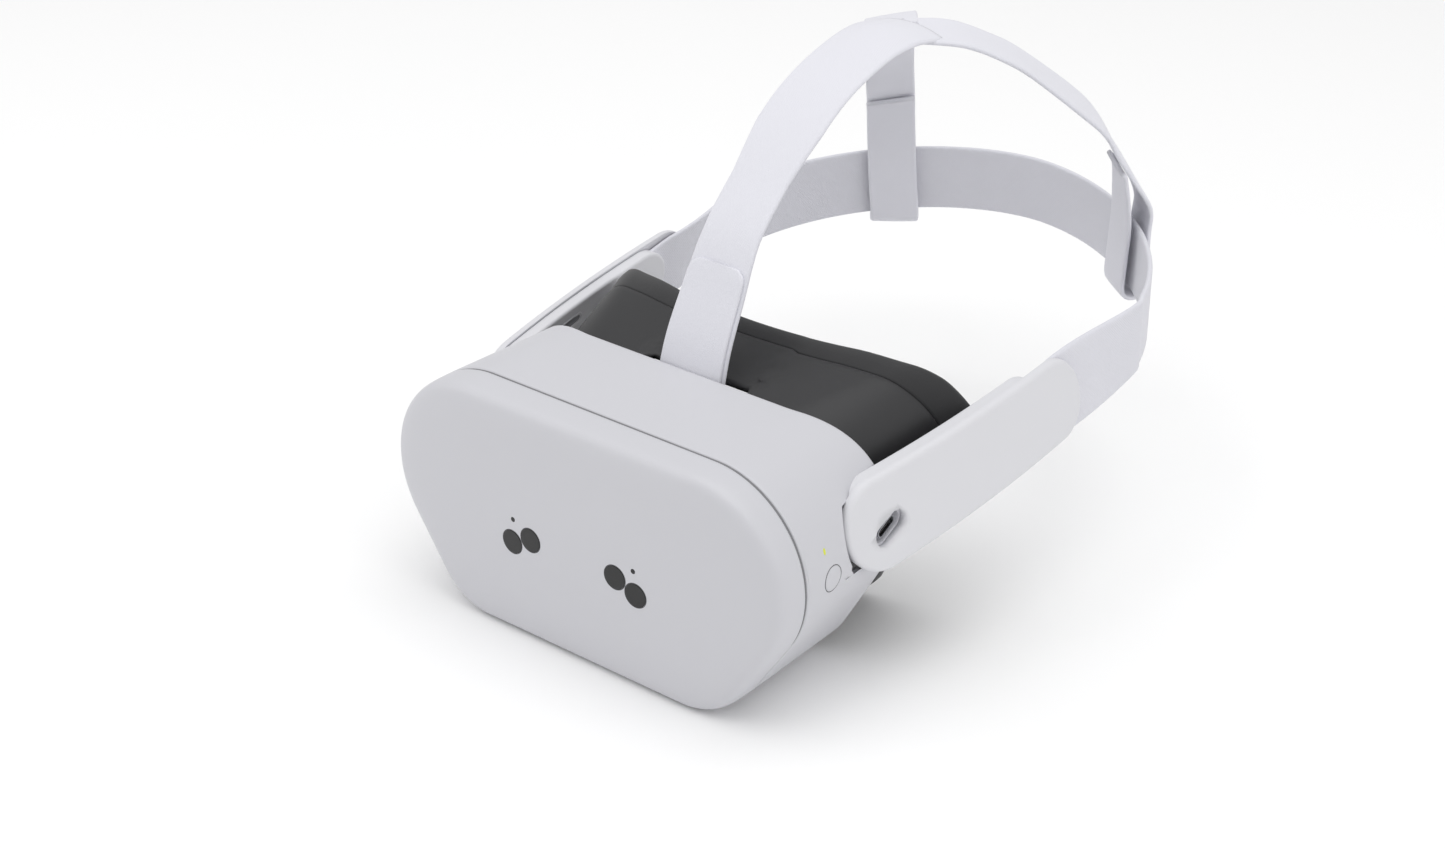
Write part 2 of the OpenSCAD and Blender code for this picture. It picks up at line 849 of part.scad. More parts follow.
// Flat web: centres along a curve, its width along `across`, its thickness to the outside
function web_ring(c, across, normal, half, t0, t1) =
    [c - across * half + normal * t1, c + across * half + normal * t1,
        c + across * half + normal * t0, c - across * half + normal * t0];

// Side profile of the top strap from the anchor over the crown, y and z
crown = [[6.8, 90], [10.5, 101], [17.8, 115.5], [28, 134.5], [43, 150], [60.6, 165.5], [77, 175.4], [97, 182.6], [114, 185.3],
    [129, 184.6]];
crown_steps = 27;
function crown_point(t) = let (p = spline(crown, t)) [0, p[0], p[1]];
function crown_ring(t) =
    let (a = crown_point(max(t - 0.05, 0)), b = crown_point(min(t + 0.05, 9)), d = unit(b - a))
    web_ring(crown_point(t), [1, 0, 0], [0, -d[2], d[1]], top_half * (1 + 0.25 * smooth((t - 6) / 3)), 0, web_t);
// Each leg passes outside the back strap, under it and up its inner side to a seam
hook_x = 56.4;
hook_y = 204.5;
hook_turn = 38.5;
hook_low = 68.3;
hook_gap = web_t + loop_gap;
loop_out_x = sin(hook_turn) * hook_gap;
loop_out_y = cos(hook_turn) * hook_gap;
// One rear leg: points from the split down to the back strap
leg = [[4, 125, 185], [15.1, 139.9, 182.3], [24.4, 152.8, 175.5], [31.6, 162.8, 168], [43.9, 180.4, 150.9],
    [49.6, 188.6, 141], [53, 194.3, 130.4], [57, 200.8, 119], [hook_x + loop_out_x, hook_y + loop_out_y, 106],
    [hook_x + loop_out_x, hook_y + loop_out_y, 96], [hook_x + loop_out_x, hook_y + loop_out_y, hook_low + 1]];
leg_last = len(leg) - 1;
// Turn in plan and outward droop of each leg at its points
leg_turn = [[36, 0.12], [34, 0.2], [33, 0.25], [33, 0.32], [36, 0.36], [40, 0.24], [45, 0.1], [46, 0.03],
    [hook_turn + 2, 0], [hook_turn, 0], [hook_turn, 0]];
function leg_across(t) = let (a = spline(leg_turn, t)) [cos(a[0]), -sin(a[0]), -a[1]];
function leg_ring(path, t, across) =
    let (p = spline(path, t), last = len(path) - 1)
    let (d = unit(spline(path, min(t + 0.05, last)) - spline(path, max(t - 0.05, 0))))
    let (w = unit(across - d * (across * d)), n = cross(w, d))
    web_ring(p, w, n, leg_half, -web_t / 2, web_t / 2);
hook_seam = spline(leg, 6.4) - [0.9, 1.1, 0];
leg_return = [[hook_x - loop_out_x, hook_y - loop_out_y, hook_low + 1], [hook_x - loop_out_x, hook_y - loop_out_y, 86],
    [hook_x - loop_out_x, hook_y - loop_out_y * 1.05, 102], hook_seam];
module leg_loop() {
    translate([hook_x, hook_y, hook_low])
        rotate([0, 0, -hook_turn])
            box(-leg_half - 0.2, leg_half + 0.2, -hook_gap - web_t / 2 - 0.1, hook_gap + web_t / 2 + 0.1, 0, web_t);
    skin([for (i = [0 : 12]) leg_ring(leg_return, i / 4, leg_across(leg_last - sq(i / 12) * 2.6))]);
}
module top_strap() {
    color(fabric) {
        skin([for (i = [0 : crown_steps]) crown_ring(i * 9 / crown_steps)]);
        for (side = [0, 1])
            mirror([side, 0, 0]) {
                skin([for (i = [0 : 32]) leg_ring(leg, i * leg_last / 32, leg_across(i * leg_last / 32))]);
                leg_loop();
            }
    }
    color(fabric)
        anchor_loop();
}
module anchor_loop() {
    difference() {
        union() {
            rod_x(-top_half, top_half, loop_out, anchor_y, anchor_z);
            box(-top_half, top_half, anchor_y - loop_out, anchor_y - loop_in + 0.6, anchor_z, 91);
        }
        rod_x(-30, 30, loop_in, anchor_y, anchor_z);
    }
}
module top_strap_flap() {
    color(fabric)
        skin([for (i = [0 : 8]) flap_ring(i / 8)]);
}
function flap_ring(f) =
    let (t = 0.15 + 2.2 * f, a = crown_point(t - 0.05), b = crown_point(t + 0.05), d = unit(b - a))
    web_ring(crown_point(t), [1, 0, 0], [0, -d[2], d[1]], 15.2 - 1.8 * f, web_t + 0.15, web_t * 1.8);

// Back strap: an oval wall seen from above, rising towards the back of the head
band_y = 139.7;
band_b = band_rear - band_y;
band_power = 1.83;
function band_plan(a) =
    [band_a * sign(cos(a)) * pow(abs(cos(a)), 2 / band_power), band_y + band_b * pow(sin(a), 2 / band_power)];
band_start = core_rear_y - 12;
web_depth = (cover_t + 0.3 + web_t / 2) / cos(arm_lean);
function band_half_path() = concat(
    [for (y = [0, 12, 26, 42]) let (b = band_start + y) [arm_face_x(b, band_center(b)) - web_depth, b]],
    [for (a = [6 : 7 : 83]) band_plan(a)]
);
function band_full_path() = let (h = band_half_path())
    concat(h, [[0, band_rear]], [for (i = [len(h) - 1 : -1 : 0]) [-h[i][0], h[i][1]]]);
function band_center(y) = 72.5 + 0.1 * (y - 100) + 0.0003 * sq(y - 100);
function band_half(y) = 15 - 1.5 * clamp01((y - 100) / 125) - 3 * clamp01((band_start + 30 - y) / 30);
function band_lean(y) = tan(arm_lean) * (1 - smooth((y - 112) / 48));
function band_ring(path, i) =
    let (p = path[i], q = path[min(i + 1, len(path) - 1)], o = path[max(i - 1, 0)], d = unit(q - o))
    let (n = [d[1], -d[0], 0] * web_t / 2, side = sign(p[0]), up = [-side * band_lean(p[1]), 0, 1] * band_half(p[1]))
    let (c = [p[0], p[1], band_center(p[1])])
    [c - n + up, c + n + up, c + n - up, c - n - up];
module back_strap() {
    path = band_full_path();
    color(fabric)
        skin([for (i = [0 : len(path) - 1]) band_ring(path, i)]);
}

module hinge_screws() {
    color(steel)
        for (side = [0, 1])
            mirror([side, 0, 0])
                hinge_screw_spots() {
                    rod_y(-2.4, 7, 0.9, 0, 0);
                    rod_y(-3.4, -2.4, 1.8, 0, 0);
                }
}

front_visor();
seam_gasket();
main_shell();
chassis();
display_panel();
mainboard();
heat_sink();
battery();
fan_housing();
fan_rotor();
camera_modules();
left_camera_window();
right_camera_window();
infrared_windows();
status_led();
power_button();
volume_rocker();
rocker_pin();
action_button();
lens_bezel();
proximity_window();
guide_rods();
left_lens_carriage();
right_lens_carriage();
left_lens();
right_lens();
interface_frame();
face_foam();
strap_anchor();
left_hinge_plate();
right_hinge_plate();
left_hinge_pin();
right_hinge_pin();
left_arm_core();
right_arm_core();
left_arm_cover();
right_arm_cover();
left_speaker();
right_speaker();
left_speaker_grille();
right_speaker_grille();
port_bezel();
port_shell();
port_tongue();
back_strap();
top_strap();
top_strap_flap();
board_screws();
hinge_screws();
bezel_screws();
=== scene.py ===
import json
import math
import bmesh
import bpy
import numpy as np
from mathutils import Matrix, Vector


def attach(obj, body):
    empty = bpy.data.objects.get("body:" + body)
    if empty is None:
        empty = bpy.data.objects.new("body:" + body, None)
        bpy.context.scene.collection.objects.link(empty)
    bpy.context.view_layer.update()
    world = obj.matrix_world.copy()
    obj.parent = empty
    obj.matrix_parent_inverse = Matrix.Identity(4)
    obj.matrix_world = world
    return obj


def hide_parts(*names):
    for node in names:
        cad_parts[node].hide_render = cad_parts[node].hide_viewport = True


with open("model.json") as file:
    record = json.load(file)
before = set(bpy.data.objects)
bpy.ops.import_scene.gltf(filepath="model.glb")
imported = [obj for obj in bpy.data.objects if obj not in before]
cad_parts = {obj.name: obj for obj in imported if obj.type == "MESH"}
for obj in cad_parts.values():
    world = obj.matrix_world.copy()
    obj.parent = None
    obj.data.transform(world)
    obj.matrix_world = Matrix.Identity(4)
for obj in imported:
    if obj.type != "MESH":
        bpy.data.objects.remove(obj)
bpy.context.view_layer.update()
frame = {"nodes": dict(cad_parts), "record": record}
print("frame loaded")

mm = 0.001  # sizes below are in millimetres


def smooth(v):
    # 3 c^2 - 2 c^3 of the value held between 0 and 1
    c = np.clip(v, 0.0, 1.0)
    return c * c * (3 - 2 * c)


def bell(x, mid, width):
    # e to the minus square of the distance from mid over width
    return np.exp(-((x - mid) / width) ** 2)


def linearFromHex(code):
    # the sRGB curve undone for each pair of hex digits
    parts = [int(code[i:i + 2], 16) / 255 for i in (1, 3, 5)]
    return tuple(c / 12.92 if c <= 0.04045 else ((c + 0.055) / 1.055) ** 2.4 for c in parts) + (1.0,)


# meshes from grids of points
def gridObject(name, points, closedU=False, closedV=False, capStart=False, capEnd=False, uv=None):
    # points is rows x columns x 3 in millimetres; rows run along the piece, columns round it
    rows, cols = points.shape[:2]
    index = np.arange(rows * cols).reshape(rows, cols)
    a = index if closedU else index[:-1]
    b = np.roll(index, -1, axis=0) if closedU else index[1:]
    if closedV:
        quads = np.stack([a, np.roll(a, -1, 1), np.roll(b, -1, 1), b], -1)
    else:
        quads = np.stack([a[:, :-1], a[:, 1:], b[:, 1:], b[:, :-1]], -1)
    faces = quads.reshape(-1, 4).tolist()
    verts = points.reshape(-1, 3)
    extra = []
    fan = cols if closedV else cols - 1
    if capStart:
        hub = len(verts) + len(extra)
        extra.append(points[0].mean(0))
        faces += [[int(index[0, (j + 1) % cols]), int(index[0, j]), hub] for j in range(fan)]
    if capEnd:
        hub = len(verts) + len(extra)
        extra.append(points[-1].mean(0))
        faces += [[int(index[-1, j]), int(index[-1, (j + 1) % cols]), hub] for j in range(fan)]
    if extra:
        verts = np.vstack([verts, np.array(extra)])
    mesh = bpy.data.meshes.new(name)
    mesh.from_pydata((verts * mm).tolist(), [], faces)
    if uv is not None:
        flat = uv.reshape(-1, 2)
        if extra:
            flat = np.vstack([flat, np.zeros((len(extra), 2))])
        layer = mesh.uv_layers.new(name="piece")
        loops = np.zeros(len(mesh.loops), dtype=np.int32)
        mesh.loops.foreach_get("vertex_index", loops)
        layer.data.foreach_set("uv", flat[loops].astype(np.float32).ravel())
    mesh.update()
    mesh.validate()
    obj = bpy.data.objects.new(name, mesh)
    bpy.context.scene.collection.objects.link(obj)
    tidyMesh(obj)
    return obj


def tidyMesh(obj):
    # doubles merged at seams and poles, then all faces turned outwards
    bm = bmesh.new()
    bm.from_mesh(obj.data)
    bmesh.ops.remove_doubles(bm, verts=bm.verts, dist=1e-6)
    bmesh.ops.recalc_face_normals(bm, faces=bm.faces)
    bm.to_mesh(obj.data)
    bm.free()
    obj.data.shade_smooth()


def mirrorX(points):
    # x to minus x, with the columns reversed so that faces still point outwards
    other = points.copy()
    other[..., 0] *= -1
    return other[:, ::-1]


# materials
def addNode(tree, kind, inputs=None, **settings):
    node = tree.nodes.new(kind)
    for key, value in settings.items():
        setattr(node, key, value)
    for key, value in (inputs or {}).items():
        if isinstance(value, bpy.types.NodeSocket):
            tree.links.new(value, node.inputs[key])
        else:
            node.inputs[key].default_value = value
    return node


def surfaceMaterial(name, code, roughness, ior=1.49, metallic=0.0, grain=None, sheen=0.0, transmission=0.0):
    # grain is (size in mm, bump height in mm)
    mat = bpy.data.materials.new(name)
    mat.use_nodes = True
    tree = mat.node_tree
    shader = tree.nodes["Principled BSDF"]
    shader.inputs["Base Color"].default_value = linearFromHex(code)
    shader.inputs["Roughness"].default_value = roughness
    shader.inputs["IOR"].default_value = ior
    shader.inputs["Metallic"].default_value = metallic
    shader.inputs["Sheen Weight"].default_value = sheen
    shader.inputs["Transmission Weight"].default_value = transmission
    if grain:
        coords = addNode(tree, "ShaderNodeTexCoord")
        noise = addNode(tree, "ShaderNodeTexNoise",
                        {"Vector": coords.outputs["Object"], "Scale": 1 / (grain[0] * mm), "Detail": 2.0})
        bump = addNode(tree, "ShaderNodeBump",
                       {"Height": noise.outputs["Fac"], "Distance": grain[1] * mm, "Strength": 0.6})
        tree.links.new(bump.outputs["Normal"], shader.inputs["Normal"])
    return mat


def wovenMaterial(name, code, pitch, height, roughness=0.85, sheen=0.25):
    # height is the product of a sine across and a sine along the web, on the piece's own UV in metres
    mat = surfaceMaterial(name, code, roughness, sheen=sheen)
    tree = mat.node_tree
    shader = tree.nodes["Principled BSDF"]
    place = addNode(tree, "ShaderNodeUVMap", uv_map="piece")
    split = addNode(tree, "ShaderNodeSeparateXYZ", {"Vector": place.outputs["UV"]})
    turnsAcross = 2 * math.pi / (pitch * mm)
    turnsAlong = turnsAcross / 0.8  # weft threads lie a little closer than warp threads
    across = addNode(tree, "ShaderNodeMath", {0: split.outputs["X"], 1: turnsAcross}, operation="MULTIPLY")
    along = addNode(tree, "ShaderNodeMath", {0: split.outputs["Y"], 1: turnsAlong}, operation="MULTIPLY")
    warp = addNode(tree, "ShaderNodeMath", {0: across.outputs[0]}, operation="SINE")
    weft = addNode(tree, "ShaderNodeMath", {0: along.outputs[0]}, operation="SINE")
    cross = addNode(tree, "ShaderNodeMath", {0: warp.outputs[0], 1: weft.outputs[0]}, operation="MULTIPLY")
    bump = addNode(tree, "ShaderNodeBump",
                   {"Height": cross.outputs[0], "Distance": height * mm, "Strength": 0.5})
    tree.links.new(bump.outputs["Normal"], shader.inputs["Normal"])
    return mat


mats = {
    # fine satin that spreads highlights
    "shell": surfaceMaterial("satin moulded polycarbonate", "#CACACF", 0.42, grain=(0.25, 0.01)),
    # a little whiter and duller than the shell
    "arm": surfaceMaterial("satin moulded nylon", "#D8D8DC", 0.45, grain=(0.25, 0.01)),
    "gasket": surfaceMaterial("moulded rubber", "#4A4A4C", 0.7),  # no clear highlight
    # dark with a soft wide sheen
    "frame": surfaceMaterial("soft touch moulded frame", "#29292B", 0.5, grain=(0.3, 0.015)),
    # darker and duller than the frame, slightly fuzzy
    "foam": surfaceMaterial("knit covered foam", "#222224", 0.75, grain=(0.6, 0.06), sheen=0.2),
    "strap": wovenMaterial("woven elastic webbing", "#DDDDE4", 0.9, 0.06),  # threads 0.9 mm apart, near matt
    "bandFace": wovenMaterial("ribbed elastic band", "#D8D8DF", 1.1, 0.08),  # coarser ribs than the top strap
    "glossy": surfaceMaterial("black tinted glass", "#030304", 0.12, ior=1.5),  # black mirror-like discs
    "lens": surfaceMaterial("moulded acrylic lens", "#E8F0F4", 0.03, transmission=1.0),  # clear
    "steel": surfaceMaterial("machined steel", "#B8BABD", 0.3, metallic=1.0),  # turned, even shine
    "casting": surfaceMaterial("die cast zinc", "#8C8E92", 0.45, metallic=1.0),  # greyer and duller than steel
    "black": surfaceMaterial("moulded black plastic", "#1C1C1E", 0.5),  # half matt
    "board": surfaceMaterial("solder mask laminate", "#1E5A3C", 0.4),  # green, slightly glossy
    "sink": surfaceMaterial("extruded aluminium", "#A9ABB0", 0.35, metallic=1.0),  # bright fins
    "cell": surfaceMaterial("foil wrapped cell", "#C9CCD2", 0.35, metallic=0.8),  # silver wrap
    "screen": surfaceMaterial("display glass", "#101218", 0.08, ior=1.52),  # dark and glossy
    # grey, too fine to show its holes
    "grille": surfaceMaterial("woven metal mesh", "#77777B", 0.5, metallic=0.6, grain=(0.4, 0.08)),
    # painted shade: the gap material makes thin dark lines round windows and the button in place of the shade
    # inside their gaps
    "gap": surfaceMaterial("shadow gap", "#4E4E52", 0.8),  # dark lines round windows and the button
    "line": surfaceMaterial("grey seam rubber", "#7D7D80", 0.7),  # even mid grey, no shine
    "led": surfaceMaterial("clear light pipe", "#D8E04A", 0.3),  # yellow green dot
    "bezel": surfaceMaterial("fine grain bezel", "#2C2D30", 0.5, grain=(0.3, 0.01)),  # dark, even grain
}
for entry in frame["record"]["subparts"]:
    part = frame["nodes"][entry["node"]]
    look = mats.get({"white": "shell"}.get(entry["material_slot"], entry["material_slot"]), mats["shell"])
    part.data.materials.clear()
    part.data.materials.append(look)
    print("material", entry["node"])


def place(obj, body, look, slotName, *replaced):
    obj.data.materials.append(mats[look])
    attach(obj, body)
    if replaced:
        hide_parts(*replaced)
    return obj


# body outline
shape = {
    "cornerX": 50.5, "cornerR": 38.5, "topZ": 92.2, "wall": 2.4, "seamY": -42.0, "visorDepth": 15.5,
    "rearY": 2.2, "lowR": 26.0, "centreZ": 50.0, "pivotZ": 63.0,
}


def bodyOutline(inset, taper):
    # flat top, an arc of the corner radius, a tangent line, a smaller arc and a flat base
    # inset shrinks it all round, taper brings only its sides and top corners in
    r1, r2 = shape["cornerR"] - inset - taper, shape["lowR"] - inset
    cx, lx = shape["cornerX"] - taper, shape["cornerX"] - 3.5 - taper
    cz, lz = shape["topZ"] - shape["cornerR"] + taper, shape["lowR"]
    touch = math.atan2(lz - cz, lx - cx) + math.acos((r1 - r2) / math.hypot(lx - cx, lz - cz))
    top = np.stack([np.linspace(0, cx, 16)[:-1], np.full(15, cz + r1)], 1)
    a = np.linspace(math.pi / 2, touch, 48)
    upper = np.stack([cx + r1 * np.cos(a), cz + r1 * np.sin(a)], 1)
    b = np.linspace(touch, -math.pi / 2, 28)
    lower = np.stack([lx + r2 * np.cos(b), lz + r2 * np.sin(b)], 1)
    t = np.linspace(0, 1, 6)[1:-1, None]
    side = upper[-1] * (1 - t) + lower[0] * t
    base = np.stack([np.linspace(lx, 0, 13)[1:], np.full(12, inset)], 1)
    half = np.vstack([top, upper, side, lower, base])
    return np.vstack([half, (half * [-1, 1])[-2:0:-1]])


visor = {"steps": 40, "lipRound": 0.6, "faceDome": 0.9}


def visorPoint(f, inset):
    # the outline shrinks by 0.42 f^4 + 0.1 f^2 while the depth follows a quarter circle of f
    k = 1 - 0.42 * f ** 4 - 0.1 * f ** 2
    y = shape["seamY"] - 1 - shape["visorDepth"] * math.sqrt(max(0.0, 1 - (1 - f) ** 2))
    p = bodyOutline(inset, 0)
    return np.stack([p[:, 0] * k, np.full(len(p), y), shape["centreZ"] + (p[:, 1] - shape["centreZ"]) * k], 1)


def buildVisor():
    lip = visor["lipRound"]
    rings = []
    for inset, back in ((shape["wall"], 0.0), (lip, 0.0), (lip * 0.29, -lip * 0.29), (0.0, -lip)):
        p = bodyOutline(inset, 0)
        rings.append(np.stack([p[:, 0], np.full(len(p), shape["seamY"] - 1 + back), p[:, 1]], 1))
    f0 = 0.012
    for f in f0 + (1 - f0) * np.linspace(0, 1, visor["steps"]) ** 1.6:
        rings.append(visorPoint(f, 0.0))
    face = visorPoint(1.0, 0.0)
    middle = np.array([0, 0, shape["centreZ"]])
    for s in np.linspace(1, 0, 12)[1:-1]:
        p = middle + (face - middle) * [s, 1, s]
        p[:, 1] -= visor["faceDome"] * (1 - s * s)
        rings.append(p)
    obj = gridObject("visorSkin", np.array(rings), closedV=True, capEnd=True)
    return place(obj, "head", "shell", "shell", "front_visor")


def shellTaper(y):
    return 1.6 * np.clip((y - shape["seamY"]) / 50, 0, 1)


shellLook = {"edgeRound": 0.7, "pocketR": 17.9, "rows": 22}


def rearEdge(p):
    # the rear edge steps back towards the sides and swings forward round each arm
    back = shape["rearY"] + 7 * smooth((np.abs(p[:, 0]) - 45) / 36)
    dz = np.abs(p[:, 1] - shape["pivotZ"])
    pocket = -np.sqrt(np.clip(shellLook["pocketR"] ** 2 - dz ** 2, 0, None))
    up = p[:, 1] - shape["pivotZ"]
    w = smooth((up + 14.1) / 0.9) * smooth((12.8 - up) / 0.9) * (np.abs(p[:, 0]) > 60)
    return back * (1 - w) + pocket * w


def buildShell():
    e, wall, seam = shellLook["edgeRound"], shape["wall"], shape["seamY"]
    rings = []

    def ring(inset, share, shift):
        p = bodyOutline(inset, 0)
        for _ in range(2):
            y = seam + share * (rearEdge(p) - seam) + shift
            p = np.array([bodyOutline(inset, t)[i] for i, t in enumerate(shellTaper(y))]) if share > 0 else p
        return np.stack([p[:, 0], y, p[:, 1]], 1)

    for inset, share, shift in ((wall, 0, 0), (e, 0, 0), (e * 0.29, 0, e * 0.29), (0, 0, e)):
        rings.append(ring(inset, share, shift))
    for share in np.linspace(0.03, 0.96, shellLook["rows"]):
        rings.append(ring(0, share, 0))
    rim = ((0, 1, -e), (e * 0.29, 1, -e * 0.29), (e, 1, 0), (wall - 0.4, 1, 0), (wall, 1, -0.4))
    for inset, share, shift in rim:
        rings.append(ring(inset, share, shift))
    for share in (0.8, 0.5, 0.2):
        rings.append(ring(wall, share, 0))
    obj = gridObject("shellSkin", np.array(rings), closedU=True, closedV=True)
    return place(obj, "head", "shell", "shell", "main_shell")


def buildSeam():
    # a rubber strip lies 0.3 mm below the surface and fills the joint between visor and shell
    rings = []
    for inset, y in ((1.8, -0.97), (0.42, -0.97), (0.3, -0.85), (0.3, -0.15), (0.42, -0.03), (1.8, -0.03)):
        p = bodyOutline(inset, 0)
        rings.append(np.stack([p[:, 0], np.full(len(p), shape["seamY"] + y), p[:, 1]], 1))
    obj = gridObject("seamStrip", np.array(rings), closedU=True, closedV=True)
    return place(obj, "head", "line", "gasket")


visorSkin = buildVisor()
shellSkin = buildShell()
seamStrip = buildSeam()
print("body built")


# camera windows
def visorY(x, z):
    # depth of the visor where a ray from the middle of the outline meets its ring
    p = bodyOutline(0, 0)
    angle = np.arctan2(p[:, 1] - shape["centreZ"], p[:, 0])
    order = np.argsort(angle)
    radius = np.interp(np.arctan2(z - shape["centreZ"], x), angle[order],
                       np.hypot(p[:, 0], p[:, 1] - shape["centreZ"])[order], period=2 * math.pi)
    k = np.hypot(x, z - shape["centreZ"]) / radius
    f = np.linspace(0, 1, 400)
    fAt = np.interp(-k, -(1 - 0.42 * f ** 4 - 0.1 * f ** 2), f)
    y = shape["seamY"] - 1 - shape["visorDepth"] * np.sqrt(1 - (1 - fAt) ** 2)
    inner = np.clip(k / 0.48, 0, 1)
    return np.where(k < 0.48, y - visor["faceDome"] * (1 - inner ** 2), y)


windows = {
    "x": 19.6, "step": 9.0, "z": 43.2, "drop": 3.9, "radius": 4.6,
    "dotShift": 8.2, "dotRise": 5.4, "dotRadius": 1.0,
}


def windowDisc(name, x, z, radius, proud):
    # discs of growing radius laid on the visor, the last rings turned down into it
    rings = []
    for r, lift in ((0.02, proud), (radius * 0.3, proud), (radius * 0.6, proud), (radius * 0.85, proud),
                    (radius - 0.25, proud), (radius - 0.05, proud * 0.6), (radius, -0.3)):
        a = np.linspace(0, 2 * math.pi, 49)[:-1]
        px, pz = x + r * np.cos(a), z + r * np.sin(a)
        rings.append(np.stack([px, visorY(px, pz) - lift, pz], 1))
    return gridObject(name, np.array(rings), closedV=True, capStart=True)


def gapShadeLoop(name, x, z, radius, depthAt, wide=0.16):
    # a thin tube laid on the surface round a window or a button, which carries the painted shade of the gap
    # there; depthAt gives the third coordinate
    a = np.linspace(0, 2 * math.pi, 65)[:-1]
    b = np.linspace(0, 2 * math.pi, 9)[:-1]
    rings = []
    for t in a:
        r = radius + wide * np.cos(b)
        rings.append(np.stack([x + r * math.cos(t), z + r * math.sin(t), wide * np.sin(b)], 1))
    rings = np.array(rings)
    return gridObject(name, depthAt(rings), closedU=True, closedV=True)


def onVisor(rings):
    y = visorY(rings[..., 0], rings[..., 1]) - rings[..., 2] + 0.06
    return np.stack([rings[..., 0], y, rings[..., 1]], -1)


for side, word in ((1, "left"), (-1, "right")):
    for k in (0, 1):
        cx, cz = side * (windows["x"] + k * windows["step"]), windows["z"] - k * windows["drop"]
        disc = windowDisc(word + "Window" + str(k), cx, cz, windows["radius"], 0.12)
        place(disc, "head", "glossy", "glossy", *([word + "_camera_window"] if k == 0 else []))
        # painted shade of the gap round each window
        rim = gapShadeLoop(word + "WindowGapShade" + str(k), cx, cz, windows["radius"] + 0.12, onVisor)
        place(rim, "head", "gap", "gasket")
    dotX, dotZ = side * (windows["x"] + windows["dotShift"]), windows["z"] + windows["dotRise"]
    dot = windowDisc(word + "Infrared", dotX, dotZ, windows["dotRadius"], 0.06)
    place(dot, "head", "glossy", "glossy", *(["infrared_windows"] if side == 1 else []))
print("windows built")

# arms
arm = {
    "faceX": 89.0, "splay": 0.175, "drum": 625.0, "lean": math.radians(12.4), "frontR": 16.5, "rearR": 15.1,
    "length": 94.9, "rise": 10.7, "coverT": 3.4, "coreT": 5.0, "edge": 1.7,
}


def armX(y, z, depth):
    # the plate bends on a drum and leans inward; depth is measured into it
    bend = arm["splay"] * y - y ** 2 / (2 * arm["drum"])
    x = arm["faceX"] + bend - math.tan(arm["lean"]) * (z - shape["pivotZ"])
    return x - depth / math.cos(arm["lean"])


def armPlate(r1, y2, z2, r2, depth0, depth1, edge0, edge1):
    # side view: two arcs and their tangents, shrunk towards the line between the two centres
    d, a = math.hypot(y2, z2), math.atan2(z2, y2)
    b = math.acos((r1 - r2) / d)
    rear = np.linspace(a - b, a + b, 40)
    front = np.linspace(a + b, a - b + 2 * math.pi, 48)
    t = np.linspace(0, 1, 26)[1:-1]
    angle = np.concatenate([rear, np.full(24, a + b), front, np.full(24, a - b + 2 * math.pi)])
    share = np.concatenate([np.ones(40), 1 - t, np.zeros(48), t])
    radius = r2 * share + r1 * (1 - share)
    cy, cz = y2 * share, z2 * share
    rings = []

    def ring(inset, depth, scale=1.0):
        r = radius * scale - inset
        y, z = cy + r * np.cos(angle), shape["pivotZ"] + cz + r * np.sin(angle)
        rings.append(np.stack([armX(y, z, depth), y, z], 1))

    for u in (0, 0.3, 0.6, 0.86):
        ring(0, depth0, u)
    for s in np.linspace(0, math.pi / 2, 7):
        ring(edge0 * (1 - math.sin(s)), depth0 + edge0 * (1 - math.cos(s)))
    for s in np.linspace(math.pi / 2, 0, 7):
        ring(edge1 * (1 - math.sin(s)), depth1 - edge1 * (1 - math.cos(s)))
    for u in (0.86, 0.6, 0.3, 0):
        ring(0, depth1, u)
    return np.array(rings)


coverGrid = armPlate(arm["frontR"], arm["length"], arm["rise"], arm["rearR"],
                     0, arm["coverT"] - 0.25, arm["edge"], 0.4)
coreY = arm["length"] - 16
coreZ = arm["rise"] * coreY / arm["length"]
coreGrid = armPlate(arm["frontR"] - 0.8, coreY, coreZ, arm["rearR"] - 0.8,
                    arm["coverT"], arm["coverT"] + arm["coreT"], 0.3, 1.4)


def carve(obj, cutter):
    cut = obj.modifiers.new("cut", "BOOLEAN")
    cut.object = cutter
    cut.solver = "EXACT"
    bpy.context.view_layer.objects.active = obj
    bpy.ops.object.modifier_apply(modifier="cut")
    bpy.data.objects.remove(cutter)


port = {"y": 2.8, "z": 60.5, "length": 15.5, "height": 8.0, "tilt": math.radians(26)}


def tilted(p, cy, cz, angle):
    # y and z of an outline turned by an angle about its middle and set at a centre
    y = cy + p[:, 0] * math.cos(angle) - p[:, 1] * math.sin(angle)
    z = cz + p[:, 0] * math.sin(angle) + p[:, 1] * math.cos(angle)
    return y, z


def stadium(length, height, inset, n=24):
    # two half circles joined by straight lines, shrunk by inset
    a = np.linspace(-math.pi / 2, math.pi / 2, n)
    r, h = height / 2 - inset, (length - height) / 2
    right = np.stack([h + r * np.cos(a), r * np.sin(a)], 1)
    return np.vstack([right, -right])


def stadiumPrism(name, x0, x1):
    # the port's outline turned by its tilt and carried straight from x0 to x1
    p = stadium(port["length"], port["height"], 0)
    y, z = tilted(p, port["y"], port["z"], port["tilt"])
    return gridObject(name, np.array([np.stack([np.full(len(y), x), y, z], 1) for x in (x0, x1)]),
                      closedV=True, capStart=True, capEnd=True)


for side, word in ((1, "left"), (-1, "right")):
    cover = gridObject(word + "Cover", coverGrid if side == 1 else mirrorX(coverGrid), closedV=True)
    core = gridObject(word + "Core", coreGrid if side == 1 else mirrorX(coreGrid), closedV=True)
    if side == 1:
        carve(cover, stadiumPrism("portCut", 80, 100))
        carve(core, stadiumPrism("portCut", 84.2, 100))
    place(cover, word + "_arm", "arm", "white", word + "_arm_cover")
    place(core, word + "_arm", "arm", "white", word + "_arm_core")
print("arms built")

speaker = {"y": 30.0, "length": 16.8, "height": 3.8, "tilt": math.radians(6.5)}
slotZ = shape["pivotZ"] + arm["rise"] * speaker["y"] / arm["length"] + 8


